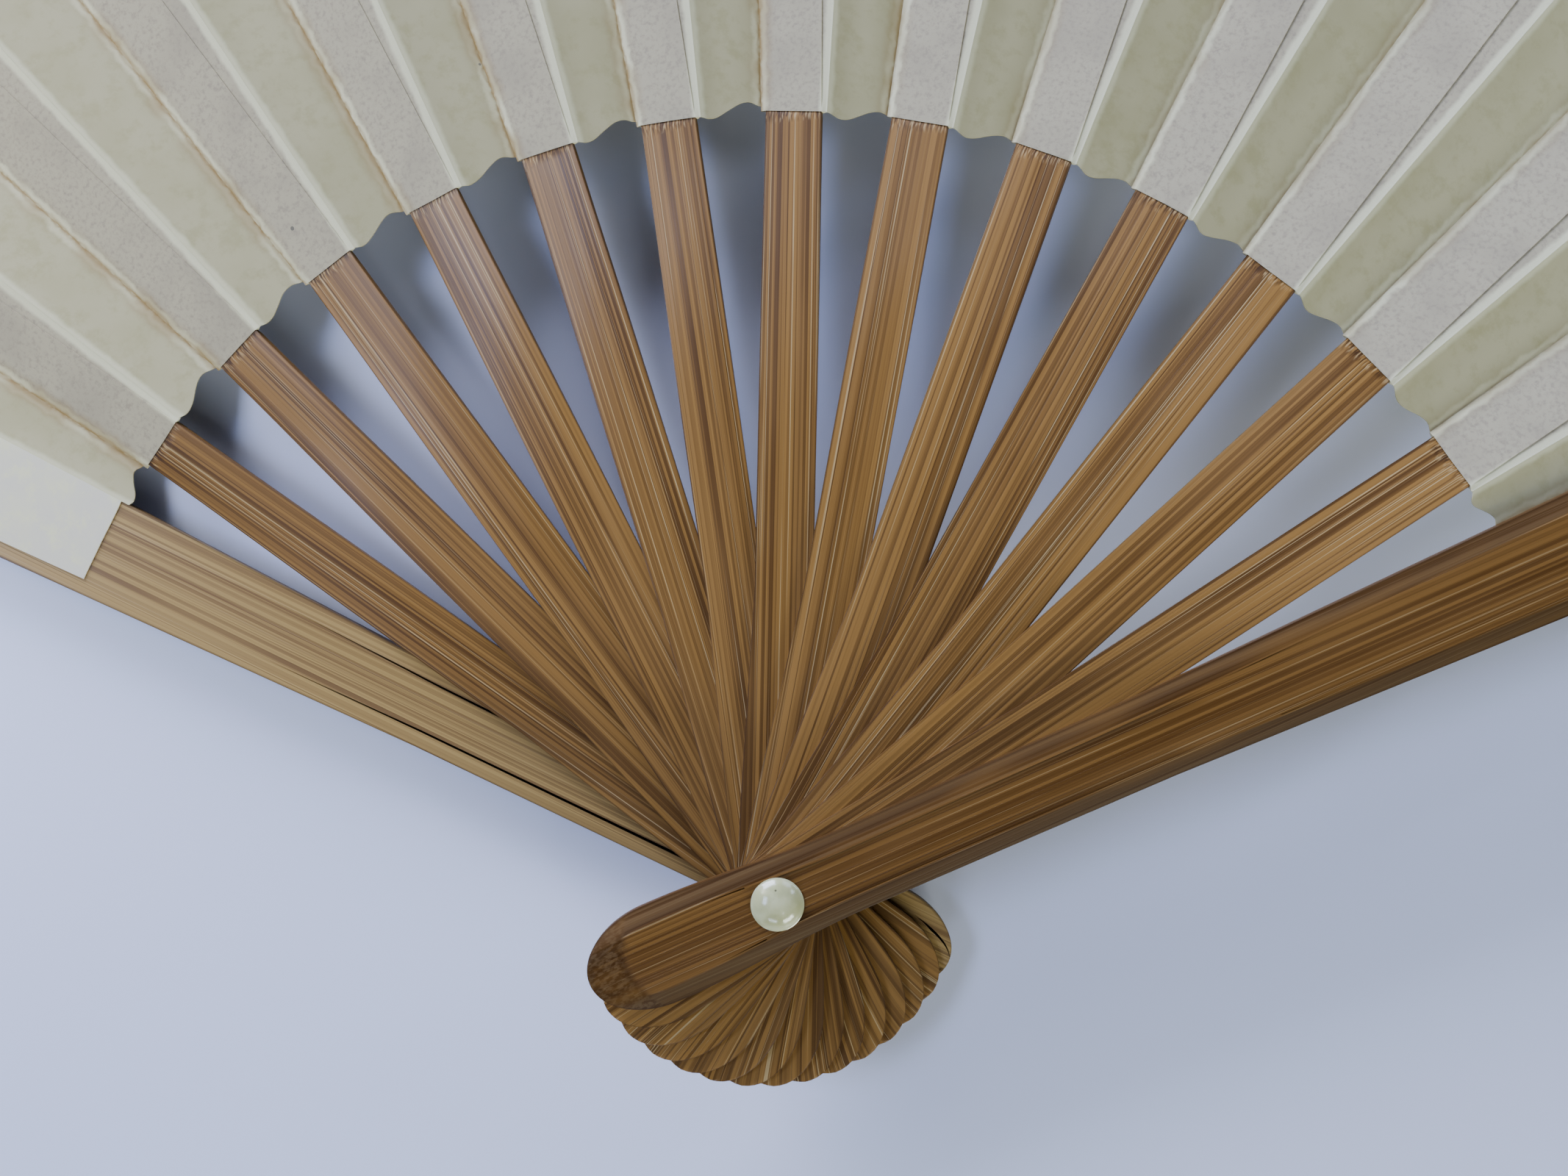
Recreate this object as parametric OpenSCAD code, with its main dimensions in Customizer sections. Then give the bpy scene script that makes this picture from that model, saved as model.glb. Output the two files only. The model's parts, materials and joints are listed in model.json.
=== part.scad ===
// Folding hand fan: two broad guards and thirteen slim sticks of carbonised bamboo turn on
// one rivet and carry a pleated paper leaf. It lies open on its back guard.
// The rivet's axis is Z, and the middle stick points along +Y. The origin is on that axis,
// on the small flat of the back rivet head. Lengths are in millimetres.

/* [Fan] */
// Number of slim sticks between the two guards
rib_count = 13; // [5:1:13]
// Angle from one stick to the next when the fan lies open
open_pitch = 9.3; // [8.6:0.1:10.2]
// Rivet axis to the leaf's inner edge
leaf_inner_r = 117; // [95:1:140]
// Rivet axis to the leaf's outer edge
leaf_outer_r = 282; // [230:1:340]

/* [Sticks] */
// Thickness of a slim stick
rib_t = 0.95; // [0.8:0.05:1.6]
// Thickness of a guard
guard_t = 2.6; // [1.8:0.1:4]
// Running gap between neighbouring sticks
stick_gap = 0.05; // [0.03:0.01:0.15]
// Rivet axis to the rounded butt end
butt_r = 29.5; // [26:0.5:36]
// Widest part of the butt
butt_w = 14.6; // [12:0.2:18]
// Length of the butt's rounded end, from its widest place to its tip
butt_nose = 11; // [9:0.5:14]
// Width of every stick at the waist, just past the rivet
waist_w = 11.8; // [10.4:0.2:14]
// Rivet axis to the waist
waist_r = 12; // [8:1:20]
// Width of a slim stick where its shank starts
rib_w = 8.8; // [7:0.2:11]
// Rivet axis to the start of that shank
rib_shank_r = 45; // [35:1:60]
// Width of a slim stick where it enters the leaf
rib_neck_w = 8.2; // [6.6:0.2:10]
// Width of a guard where it starts to broaden
guard_w = 12.6; // [11:0.2:16]
// Rivet axis to the place where a guard starts to broaden
guard_shank_r = 60; // [45:1:80]
// Width of a guard at its outer end
guard_end_w = 25.2; // [18:0.2:32]
// Stretch of guard past the leaf's outer edge
guard_overrun = 2; // [0:0.5:8]

/* [Slips] */
// Thickness of the thinned slip that each slim stick has inside the leaf
slip_t = 0.36; // [0.2:0.02:0.5]
// Width of the slip where it starts
slip_w = 6.4; // [4:0.2:8]
// Width of the slip at its outer end
slip_end_w = 3; // [2:0.2:5]
// Slip's outer end to the leaf's outer edge
slip_short = 7; // [4:0.5:12]

/* [Leaf] */
// Thickness of one of the leaf's two paper sheets
paper_t = 0.1; // [0.06:0.01:0.14]
// Angle that the panel around each slip takes up, when open
pocket_angle = 4.85; // [4.2:0.05:5.2]
// Play between a slip and the paper on each side
slip_play = 0.02; // [0.01:0.01:0.04]
// Bare strip of bamboo beside the panel pasted on each guard
guard_margin = 2.4; // [1:0.2:5]
// Setback of the pasted panels from the leaf's inner edge, which keeps them clear of the sticks
end_setback = 0.5; // [0.4:0.1:2]

/* [Rivet] */
// Radius of the rivet's shank
shank_r = 1.5; // [1:0.1:2.5]
// Radial running clearance between the shank and the sticks
shank_play = 0.05; // [0.02:0.01:0.1]
// Radius of the domed rivet heads
head_r = 4.1; // [3:0.1:5.4]
// Height of the domed rivet heads
head_h = 2; // [1.4:0.1:3]
// Radius of the flat on the back head
head_flat_r = 1.2; // [0.8:0.1:2]
// Depth of the shank's seat in the front head
seat_depth = 1.1; // [0.6:0.1:1.2]

/* [Hidden] */
$fn = 64;
BAMBOO = "peru";
GUARD_BAMBOO = "chocolate";
PAPER = "ivory";
POCKET_PAPER = "whitesmoke";
RIVET = "cornsilk";

// levels along the rivet, from the back head up
pitch_z = rib_t + stick_gap;
back_z = head_h;
inner_z = back_z + guard_t;
front_z = inner_z + stick_gap + rib_count * pitch_z;
cap_z = front_z + guard_t + stick_gap;
function rib_z(k) = inner_z + stick_gap + (k - 1) * pitch_z;
function slip_z(k) = rib_z(k) + rib_t / 2;

// directions, measured clockwise from +Y as seen from above; stick 0 is the back guard
last = rib_count + 1;
function stick_angle(k) = (k - last / 2) * open_pitch;
guard_r = leaf_outer_r + guard_overrun;
function guard_half(r) = guard_w / 2
    + (guard_end_w - guard_w) / 2 * (r - guard_shank_r) / (guard_r - guard_shank_r);
function guard_edge(r) = atan(guard_half(r) / r);

// where the leaf's straight inner edge crosses a stick
leaf_edge_y = leaf_inner_r * cos(pocket_angle / 2);
pocket_t = slip_t + 2 * (slip_play + paper_t);
pleat_t = 2 * paper_t;
crease_gap = 0.02;
cut = 1;

function two(k) = str(k < 10 ? "0" : "", k);
RIBS = [for (k = [1:rib_count]) k];
PLEATS = [for (k = [1:last]) k];

// Half outline of the butt, shared by all sticks, from the tip to the waist
nose_y = butt_nose - butt_r;
BUTT = concat(
    [for (a = [0:10:90]) [butt_w / 2 * sin(a), nose_y - butt_nose * cos(a)]],
    [for (s = [0.25:0.25:1])
        [waist_w / 2 + (butt_w - waist_w) / 4 * (1 + cos(180 * s)), nose_y + (waist_r - nose_y) * s]]
);

function mirrored(half) = concat(half, [for (i = [len(half) - 1:-1:0]) [-half[i].x, half[i].y]]);
function polar(r, a) = [r * sin(a), r * cos(a)];

// A stick along +Y: the shared butt, then straight edges through the points in ends
module stick_outline(ends) {
    polygon(mirrored(concat(BUTT, ends)));
}

module rivet_bore() {
    translate([0, 0, -cut]) cylinder(r = shank_r + shank_play, h = guard_t + 2 * cut);
}

module guard() {
    color(GUARD_BAMBOO)
    difference() {
        linear_extrude(guard_t)
        stick_outline([[guard_w / 2, guard_shank_r], [guard_end_w / 2, guard_r]]);
        rivet_bore();
    }
}

module guard_back() {
    translate([0, 0, back_z]) rotate(-stick_angle(0)) guard();
}

module guard_front() {
    translate([0, 0, front_z]) rotate(-stick_angle(last)) guard();
}

// One slim stick: full thickness up to the leaf, then a thinned slip inside its pocket
module rib(k) {
    color(BAMBOO)
    translate([0, 0, rib_z(k)])
    rotate(-stick_angle(k))
    difference() {
        union() {
            linear_extrude(rib_t)
            stick_outline([[rib_w / 2, rib_shank_r], [rib_neck_w / 2, leaf_edge_y]]);
            translate([0, 0, (rib_t - slip_t) / 2])
            linear_extrude(slip_t)
            polygon(mirrored([[slip_w / 2, leaf_edge_y - cut],
                              [slip_end_w / 2, leaf_outer_r - slip_short]]));
        }
        rivet_bore();
    }
}

// A flat strip of leaf between two directions, with straight inner and outer edges
module leaf_strip(a0, a1) {
    polygon([polar(leaf_inner_r, a0), polar(leaf_outer_r, a0),
             polar(leaf_outer_r, a1), polar(leaf_inner_r, a1)]);
}

// The two sheets left unpasted around a slip, so that they form a flat sleeve
module leaf_pocket(k) {
    a = pocket_angle / 2;
    color(POCKET_PAPER)
    translate([0, 0, slip_z(k)])
    rotate(-stick_angle(k))
    difference() {
        translate([0, 0, -pocket_t / 2]) linear_extrude(pocket_t) leaf_strip(-a, a);
        translate([0, 0, -slip_t / 2 - slip_play])
        linear_extrude(slip_t + 2 * slip_play)
        polygon(mirrored([[slip_w / 2 + slip_play, leaf_edge_y - cut],
                          [slip_end_w / 2 + slip_play, leaf_outer_r - slip_short + cut]]));
    }
}

// Directions at radius r, and levels, of the creases on both sides of pleat k
function pleat_start(k, r) = stick_angle(k - 1) + (k == 1 ? guard_edge(r) : pocket_angle / 2);
function pleat_end(k, r) = stick_angle(k) - (k == last ? guard_edge(r) : pocket_angle / 2);
function pleat_start_z(k) = k == 1 ? inner_z + pleat_t / 2 : slip_z(k - 1);
function pleat_end_z(k) = k == last ? front_z - pleat_t / 2 : slip_z(k);

// A free pleat: both sheets pasted together, rising from one stick's level to the next
module leaf_pleat(k) {
    gap = atan(crease_gap / leaf_inner_r);
    rs = [leaf_inner_r, leaf_outer_r, leaf_outer_r, leaf_inner_r];
    corners = [for (up = [-1, 1], i = [0:3])
        let (start = i < 2,
             a = start ? pleat_start(k, rs[i]) + gap : pleat_end(k, rs[i]) - gap,
             z = start ? pleat_start_z(k) : pleat_end_z(k))
            [each polar(rs[i], a), z + up * pleat_t / 2]];
    color(PAPER)
    polyhedron(corners, [[0, 3, 2], [0, 2, 1], [4, 5, 6], [4, 6, 7], [0, 1, 5], [0, 5, 4],
                         [1, 2, 6], [1, 6, 5], [2, 3, 7], [2, 7, 6], [3, 0, 4], [3, 4, 7]]);
}

// The leaf's end panel, pasted on a guard's inner face; side is 1 where the pleats leave it
// on its clockwise side, -1 on its counter-clockwise side
module leaf_end(side) {
    inner_r = leaf_inner_r + end_setback;
    color(PAPER)
    linear_extrude(pleat_t)
    polygon([polar(inner_r, side * guard_edge(inner_r)),
             polar(leaf_outer_r, side * guard_edge(leaf_outer_r)),
             [side * (guard_margin - guard_half(leaf_outer_r)), leaf_outer_r],
             [side * (guard_margin - guard_half(inner_r)), inner_r]]);
}

module leaf_end_back() {
    translate([0, 0, inner_z]) rotate(-stick_angle(0)) leaf_end(1);
}

module leaf_end_front() {
    translate([0, 0, front_z - pleat_t]) rotate(-stick_angle(last)) leaf_end(-1);
}

// A domed head standing on its flat rim at z = 0
module head_dome() {
    dome_r = (head_r * head_r + head_h * head_h) / (2 * head_h);
    intersection() {
        cylinder(r = head_r, h = head_h);
        translate([0, 0, head_h - dome_r]) sphere(dome_r);
    }
}

// Back head, shank through every stick, and the shank's seat in the front head
module rivet_stud() {
    flat_h = head_r * head_r / (2 * head_h) + head_h / 2;
    flat_drop = flat_h - sqrt(flat_h * flat_h - head_flat_r * head_flat_r);
    color(RIVET) {
        difference() {
            translate([0, 0, head_h - flat_drop]) mirror([0, 0, 1]) head_dome();
            translate([-head_r, -head_r, -head_h]) cube([2 * head_r, 2 * head_r, head_h]);
        }
        cylinder(r = shank_r, h = cap_z + seat_depth);
    }
}

module rivet_cap() {
    color(RIVET)
    translate([0, 0, cap_z])
    difference() {
        head_dome();
        translate([0, 0, -cut]) cylinder(r = shank_r, h = seat_depth + cut);
    }
}

guard_back();
guard_front();
rivet_stud();
rivet_cap();
leaf_end_back();
leaf_end_front();
for (k = RIBS) {
    rib(k);
    leaf_pocket(k);
}
for (k = PLEATS) {
    leaf_pleat(k);
}
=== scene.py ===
"""Folding hand fan: carbonised bamboo sticks on one rivet and a pleated paper leaf,
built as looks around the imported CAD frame."""

import json
import math
import random

import bmesh
import bpy
from mathutils import Euler, Matrix, Vector, noise


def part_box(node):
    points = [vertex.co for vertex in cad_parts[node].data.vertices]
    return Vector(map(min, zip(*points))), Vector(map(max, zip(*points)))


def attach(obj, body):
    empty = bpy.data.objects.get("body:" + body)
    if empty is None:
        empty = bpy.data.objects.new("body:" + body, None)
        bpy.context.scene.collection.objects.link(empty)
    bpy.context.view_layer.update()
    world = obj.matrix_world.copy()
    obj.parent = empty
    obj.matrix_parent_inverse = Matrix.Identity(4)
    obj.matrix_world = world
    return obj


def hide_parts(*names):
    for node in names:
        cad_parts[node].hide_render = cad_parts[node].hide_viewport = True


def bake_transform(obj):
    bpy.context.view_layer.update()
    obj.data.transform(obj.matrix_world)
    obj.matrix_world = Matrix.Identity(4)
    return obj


bl_info = {
    "name": "Folding Fan",
    "version": (1, 0, 0),
    "blender": (4, 5, 0),
    "location": "View3D > Sidebar > Fan",
    "description": "Builds a folding paper fan on bamboo sticks around its packed CAD frame",
    "category": "Add Mesh",
}

MM = 0.001

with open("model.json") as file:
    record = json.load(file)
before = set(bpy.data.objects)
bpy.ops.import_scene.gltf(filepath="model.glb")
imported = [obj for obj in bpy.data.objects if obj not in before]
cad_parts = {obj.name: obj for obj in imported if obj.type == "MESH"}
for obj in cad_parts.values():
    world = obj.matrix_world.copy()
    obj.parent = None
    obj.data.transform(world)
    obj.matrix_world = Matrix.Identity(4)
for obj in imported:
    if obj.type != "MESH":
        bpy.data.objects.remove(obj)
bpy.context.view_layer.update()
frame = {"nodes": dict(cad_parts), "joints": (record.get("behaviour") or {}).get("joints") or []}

# What the frame says: how many sticks there are, their directions and their levels
RIB_COUNT = sum(name.startswith("rib_") for name in frame["nodes"])
LAST = RIB_COUNT + 1
MIDDLE = LAST // 2
PITCH = math.radians(frame["joints"][0]["range_deg"][1])
MIDDLE_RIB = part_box(f"rib_{MIDDLE:02d}")
MIDDLE_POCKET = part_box(f"leaf_pocket_{MIDDLE:02d}")
GUARD_LOW, GUARD_HIGH = (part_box("guard_back")[i].z for i in (0, 1))
FRONT_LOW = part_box("guard_front")[0].z
RIB_T = MIDDLE_RIB[1].z - MIDDLE_RIB[0].z
SLIP_END = MIDDLE_RIB[1].y
BUTT_R = -MIDDLE_RIB[0].y
POCKET_HALF_ANGLE = math.atan2(MIDDLE_POCKET[1].x, MIDDLE_POCKET[1].y)
LEAF_INNER = MIDDLE_POCKET[0].y
LEAF_OUTER = MIDDLE_POCKET[1].y / math.cos(POCKET_HALF_ANGLE)
HEAD_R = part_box("rivet_cap")[1].x

# What the frame doesn't say
SHANK_R = 1.5 * MM
SOCKET_DEPTH = 1.1 * MM
BACK_HEAD_FLAT = 1.2 * MM
TWIST_START = 52 * MM
CREASE_SLOPE = math.radians(24)
MOUTH_SLANT = 0.55 * MM
TIP_CURVE = 0.055
BARE_MARGIN = 2.4 * MM
END_SETBACK = 0.6 * MM
SMOOTH_UNDER = math.radians(32)
BEVEL_OVER = math.radians(50)
FLOOR_GAP = 0.1 * MM


def two(k):
    return f"{k:02d}"


def body_name(k):
    """The CAD body that stick k turns with; stick 0 is the back guard."""
    if k == 0:
        return "guard_back"
    return "guard_front" if k == LAST else f"rib_{two(k)}"


def guard_side(k):
    return "back" if k == 0 else "front"


def stick_angle(k):
    """Direction of stick k, clockwise from +Y."""
    return (k - LAST / 2) * PITCH


# Middle level of every slim stick
STICK_LEVEL = {k: sum(corner.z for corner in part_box(f"rib_{two(k)}")) / 2
               for k in range(1, LAST)}


def linear(code):
    """sRGB hex code to the linear colour that the shaders take."""
    shares = [int(code[i:i + 2], 16) / 255 for i in (1, 3, 5)]
    return [s / 12.92 if s <= 0.04045 else ((s + 0.055) / 1.055) ** 2.4 for s in shares] + [1.0]


def smooth(x):
    x = min(max(x, 0.0), 1.0)
    return x * x * (3 - 2 * x)


def along_curve(points, x):
    """Smooth value at x of a curve through (x, value) points."""
    for (x0, v0), (x1, v1) in zip(points, points[1:]):
        if x <= x1:
            return v0 + (v1 - v0) * smooth((x - x0) / (x1 - x0))
    return points[-1][1]


# ---------------------------------------------------------------- sizes and colours


def size(name, default, description):
    return bpy.props.FloatProperty(
        name=name, description=description, default=default, unit="LENGTH", subtype="DISTANCE",
        precision=5)


def colour(name, code, description):
    return bpy.props.FloatVectorProperty(
        name=name, description=description, default=linear(code), size=4, min=0, max=1,
        subtype="COLOR")


class FanSizes(bpy.types.PropertyGroup):
    butt_width: size("Butt width", 14.6 * MM, "Widest part of a stick's rounded butt")
    butt_nose: size("Butt nose", 11 * MM, "Length of the butt's rounded end")
    waist_width: size("Waist width", 11.8 * MM, "Width of a stick just past the rivet")
    waist_place: size("Waist place", 12 * MM, "Rivet axis to the waist")
    rib_width: size("Stick width", 8.8 * MM, "Width of a slim stick where its shank starts")
    rib_shank: size("Shank start", 45 * MM, "Rivet axis to the start of a slim stick's shank")
    rib_neck: size("Neck width", 8.8 * MM, "Width of a slim stick where it meets the leaf")
    guard_width: size("Guard width", 12.6 * MM, "Width of a guard where it starts to broaden")
    guard_shank: size("Guard shank", 60 * MM, "Rivet axis to where a guard starts to broaden")
    guard_end: size("Guard end", 25.2 * MM, "Width of a guard at its outer end")
    guard_overrun: size("Guard overrun", 2 * MM, "Stretch of guard past the leaf")
    slip_thickness: size("Slip thickness", 0.36 * MM, "Thickness of the slip inside the leaf")
    slip_width: size("Slip width", 6.4 * MM, "Width of the slip where it starts")
    slip_end: size("Slip end width", 3 * MM, "Width of the slip at its outer end")
    bore: size("Bore radius", 1.55 * MM, "Radius of the hole that the rivet passes through")
    rivet_head: size("Rivet head", 3.85 * MM, "Radius of the rivet's front head")
    edge_round: size("Edge rounding", 0.14 * MM, "Rounding of the sticks' sanded edges")
    crown: size("Crown", 0.10 * MM, "How much lower a slim stick's edges are than its middle")
    chamfer_width: size("Chamfer width", 2.5 * MM, "Width of the bevel along a guard")
    chamfer_depth: size("Chamfer depth", 0.95 * MM, "Depth of the bevel at a guard's edge")
    tip_facet: size("Tip facet", 6.8 * MM, "Length of the bevel at a guard's butt end")
    paper: size("Paper thickness", 0.1 * MM, "Thickness of one of the leaf's two sheets")
    fold_height: size("Fold height", 2.2 * MM, "Most that a crease stands above its stick")
    cockle: size("Cockle", 0.14 * MM, "Height of the paper's slight waves")


class FanColours(bpy.types.PropertyGroup):
    bamboo_light: colour("Bamboo light", "#8B6633", "Pale tissue between the fibres")
    bamboo_dark: colour("Bamboo dark", "#53381A", "Fibre bundles of the slim sticks")
    # bamboo_pale_and_highlight: pale raised fibres, also used as painted highlight along the
    # fibres
    bamboo_pale_and_highlight: colour("Bamboo pale", "#BAA06F", "Raised fibres that the lacquer missed")
    guard_light: colour("Guard light", "#775528", "Pale tissue in the guards")
    guard_dark: colour("Guard dark", "#503414", "Fibre bundles of the guards")
    inner_light: colour("Inner face light", "#A0834D", "Pale tissue of the back guard")
    inner_dark: colour("Inner face dark", "#6C5130", "Fibre bundles of the back guard")
    # guard_facet_and_shade: cut bamboo on the bevels, darkened as painted shade of the bevels
    guard_facet_and_shade: colour("Guard facet", "#524029", "Greyed bamboo on the guards' bevels")
    burn: colour("Burnt edge", "#331E0B", "Darkened edges and gaps between fibres")
    pocket: colour("Pocket paper", "#ACA285", "Absorbent paper over the sticks")
    pocket_fleck: colour("Pocket fleck", "#978D76", "Fibres and dirt in that paper")
    pleat: colour("Pleat paper", "#A9A17A", "Sized paper of the free pleats")
    pleat_fleck: colour("Pleat fleck", "#9E976C", "Clouding in that paper")
    # margin: creamier glue-soaked paper beside the creases, partly painted highlight along the
    # crease rims
    margin: colour("Margin", "#D9D5AD", "Glue-soaked paper beside the creases")
    # end_sheet_painted_light: its paler colour is painted light, standing in for the stronger
    # light on the end panels
    end_sheet_painted_light: colour("End sheet", "#D0CAB4", "Paler paper pasted on the guards")
    # valley_stain_and_shade: old glue and rust down the valleys, partly painted shade of the
    # creases
    valley_stain_and_shade: colour("Stain", "#85662C", "Old glue and rust along the valley creases")
    speck: colour("Speck", "#4C4A46", "Specks of dirt on the paper")
    rivet: colour("Rivet", "#AFAF7F", "Cream plastic of the rivet heads")
    rivet_cloud: colour("Rivet cloud", "#D6D6A8", "Paler clouds in that plastic")
    pinhole: colour("Pinhole", "#4E4A38", "Pinhole that the mould left in the front head")
    table: colour("Table", "#D9DEF2", "Plain pale floor")


# ---------------------------------------------------------------- materials


def add(tree, kind, inputs=(), **settings):
    """Adds a node with its settings; inputs give sockets their values or their links."""
    made = tree.nodes.new(kind)
    for key, value in settings.items():
        setattr(made, key, value)
    for key, value in dict(inputs).items():
        if isinstance(value, bpy.types.NodeSocket):
            tree.links.new(value, made.inputs[key])
        else:
            made.inputs[key].default_value = value
    return made


def blank_material(name):
    """A new material with only a Principled shader on its output."""
    material = bpy.data.materials.new(name)
    material.use_nodes = True
    material.node_tree.nodes.clear()
    tree = material.node_tree
    shader = add(tree, "ShaderNodeBsdfPrincipled")
    add(tree, "ShaderNodeOutputMaterial", {"Surface": shader.outputs["BSDF"]})
    return material, tree, shader


def grain_noise(tree, vector, spacing, run, shift, detail=2.0):
    """Noise that is spacing wide across the fibres and run long along them."""
    place = add(tree, "ShaderNodeMapping", {
        "Vector": vector, "Location": (shift, shift * 0.37, shift * 1.9),
        "Scale": (1 / spacing, 1 / run, 1.0)})
    return add(tree, "ShaderNodeTexNoise", {
        "Vector": place.outputs[0], "Scale": 1.0, "Detail": detail,
        "Roughness": 0.55}).outputs[0]


def ramp(tree, value, low, high, to_low=0.0, to_high=1.0):
    return add(tree, "ShaderNodeMapRange", {
        "Value": value, "From Min": low, "From Max": high,
        "To Min": to_low, "To Max": to_high}, interpolation_type="SMOOTHSTEP").outputs[0]


def mixed(tree, share, a, b):
    """Colour a turning into colour b by share."""
    return add(tree, "ShaderNodeMix", {0: share, 6: a, 7: b}, data_type="RGBA").outputs[2]


def maths(tree, operation, a, b):
    return add(tree, "ShaderNodeMath", {0: a, 1: b}, operation=operation).outputs[0]


def weighted(tree, *terms):
    """The sum of some values, each times its weight."""
    total = None
    for value, weight in terms:
        term = maths(tree, "MULTIPLY", value, weight)
        total = term if total is None else maths(tree, "ADD", total, term)
    return total


def parts_of(tree, attribute):
    """The three numbers that a mesh attribute carries."""
    source = add(tree, "ShaderNodeAttribute", attribute_name=attribute)
    split = add(tree, "ShaderNodeSeparateXYZ", {0: source.outputs["Vector"]})
    return source.outputs["Vector"], split.outputs


def fibre_bands(tree, vector, spacing, run, shift):
    """A random tone for each crisp-edged band of fibres, spacing wide and run long."""
    place = add(tree, "ShaderNodeMapping", {
        "Vector": vector, "Location": (shift, shift * 0.61, shift * 1.3),
        "Scale": (1 / spacing, 1 / run, 1.0)})
    cells = add(tree, "ShaderNodeTexVoronoi", {
        "Vector": place.outputs[0], "Scale": 1.0, "Randomness": 1.0})
    return add(tree, "ShaderNodeSeparateColor", {0: cells.outputs["Color"]}).outputs[0]


def carbonised_bamboo(name, light, dark, pale, burn, facet=None):
    """Steamed and browned bamboo, split along its fibres, planed and thinly lacquered.
    The eye gets crisp parallel bands of fibre about 0.9 mm apart, thin pale lines that are
    partly pale fibre and partly painted highlight, and a low gloss that breaks into streaks on
    the raised fibres."""
    material, tree, shader = blank_material(name)
    grain, _ = parts_of(tree, "grain")
    _, wear = parts_of(tree, "wear")
    broad = grain_noise(tree, grain, 2.6 * MM, 420 * MM, 3.1)
    band = fibre_bands(tree, grain, 0.95 * MM, 520 * MM, 5.7)
    strand = fibre_bands(tree, grain, 0.42 * MM, 260 * MM, 17.3)
    fibre = grain_noise(tree, grain, 0.30 * MM, 170 * MM, 23.5, 3.0)
    hair = grain_noise(tree, grain, 0.15 * MM, 26 * MM, 37.9, 1.0)
    patch = grain_noise(tree, grain, 6 * MM, 38 * MM, 51.3)
    tone = weighted(tree, (broad, 0.14), (band, 0.22), (strand, 0.38), (fibre, 0.26))
    tone = maths(tree, "ADD", tone, wear[2])
    base = mixed(tree, ramp(tree, tone, 0.28, 0.70), dark, light)
    base = mixed(tree, ramp(tree, patch, 0.45, 0.75, 0.0, 0.22), base, light)
    # thin pale lines along the fibres: partly pale fibre, partly painted highlight
    lines = ramp(tree, grain_noise(tree, grain, 0.26 * MM, 210 * MM, 61.7, 1.0), 0.63, 0.69,
                 0.0, 0.35 if facet else 0.75)
    base = mixed(tree, maths(tree, "MULTIPLY", lines, ramp(tree, hair, 0.34, 0.5)), base, pale)
    cracks = ramp(tree, grain_noise(tree, grain, 0.24 * MM, 120 * MM, 71.1, 1.0), 0.36, 0.30,
                  0.0, 0.18)
    base = mixed(tree, cracks, base, burn)
    # the cut ends of the fibres beside the leaf: torn up to 1 mm back, some pale, some burnt
    teeth = grain_noise(tree, grain, 0.30 * MM, 2.2 * MM, 91.7, 1.0)
    reach = wear[1]
    base = mixed(tree, maths(tree, "MULTIPLY", ramp(tree, teeth, 0.50, 0.38, 0.0, 0.75), reach),
                 base, burn)
    base = mixed(tree, maths(tree, "MULTIPLY", ramp(tree, teeth, 0.56, 0.66, 0.0, 0.6), reach),
                 base, pale)
    gloss = ramp(tree, patch, 0.3, 0.7, 0.36, 0.50)
    height = weighted(tree, (strand, 0.35), (fibre, 0.65))
    if facet:
        # the bevels cut across the bundles, so their fibres show as grey streaks and, at the
        # butt, as short end-grain dashes about 0.4 mm across
        _, cut = parts_of(tree, "facet")
        dash = grain_noise(tree, grain, 0.42 * MM, 0.95 * MM, 83.1, 3.0)
        streak = ramp(tree, weighted(tree, (band, 0.5), (fibre, 0.5)), 0.25, 0.75)
        # the facet colour is partly painted shade: it is darkened for the shaded bevel
        side = mixed(tree, streak, burn, facet)
        side = mixed(tree, ramp(tree, patch, 0.5, 0.75, 0.0, 0.4), side, light)
        end = mixed(tree, ramp(tree, dash, 0.40, 0.60), burn, facet)
        end = mixed(tree, ramp(tree, patch, 0.4, 0.7, 0.0, 0.6), end, light)
        base = mixed(tree, ramp(tree, cut[0], 0.0, 1.0, 0.0, 0.8), base, side)
        base = mixed(tree, ramp(tree, cut[1], 0.0, 1.0, 0.0, 0.75), base, end)
        base = mixed(tree, ramp(tree, cut[2], 0.0, 1.0, 0.0, 0.4), base, burn)
        planed = maths(tree, "MAXIMUM", cut[0], cut[1])
        tree.links.new(ramp(tree, planed, 0.0, 1.0, 0.2, 0.06),
                       shader.inputs["Specular IOR Level"])
        tree.links.new(ramp(tree, planed, 0.0, 1.0, 0.07, 0.0), shader.inputs["Coat Weight"])
    base = mixed(tree, ramp(tree, wear[0], 0.45, 1.0, 0.0, 0.6), base, burn)
    relief = add(tree, "ShaderNodeBump", {
        "Strength": 0.6, "Distance": 0.07 * MM, "Height": height})
    tree.links.new(base, shader.inputs["Base Color"])
    tree.links.new(gloss, shader.inputs["Roughness"])
    tree.links.new(relief.outputs[0], shader.inputs["Normal"])
    tree.links.new(relief.outputs[0], shader.inputs["Coat Normal"])
    shader.inputs["Specular IOR Level"].default_value = 0.2
    shader.inputs["Coat Weight"].default_value = 0.07
    shader.inputs["Coat Roughness"].default_value = 0.13
    return material


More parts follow.
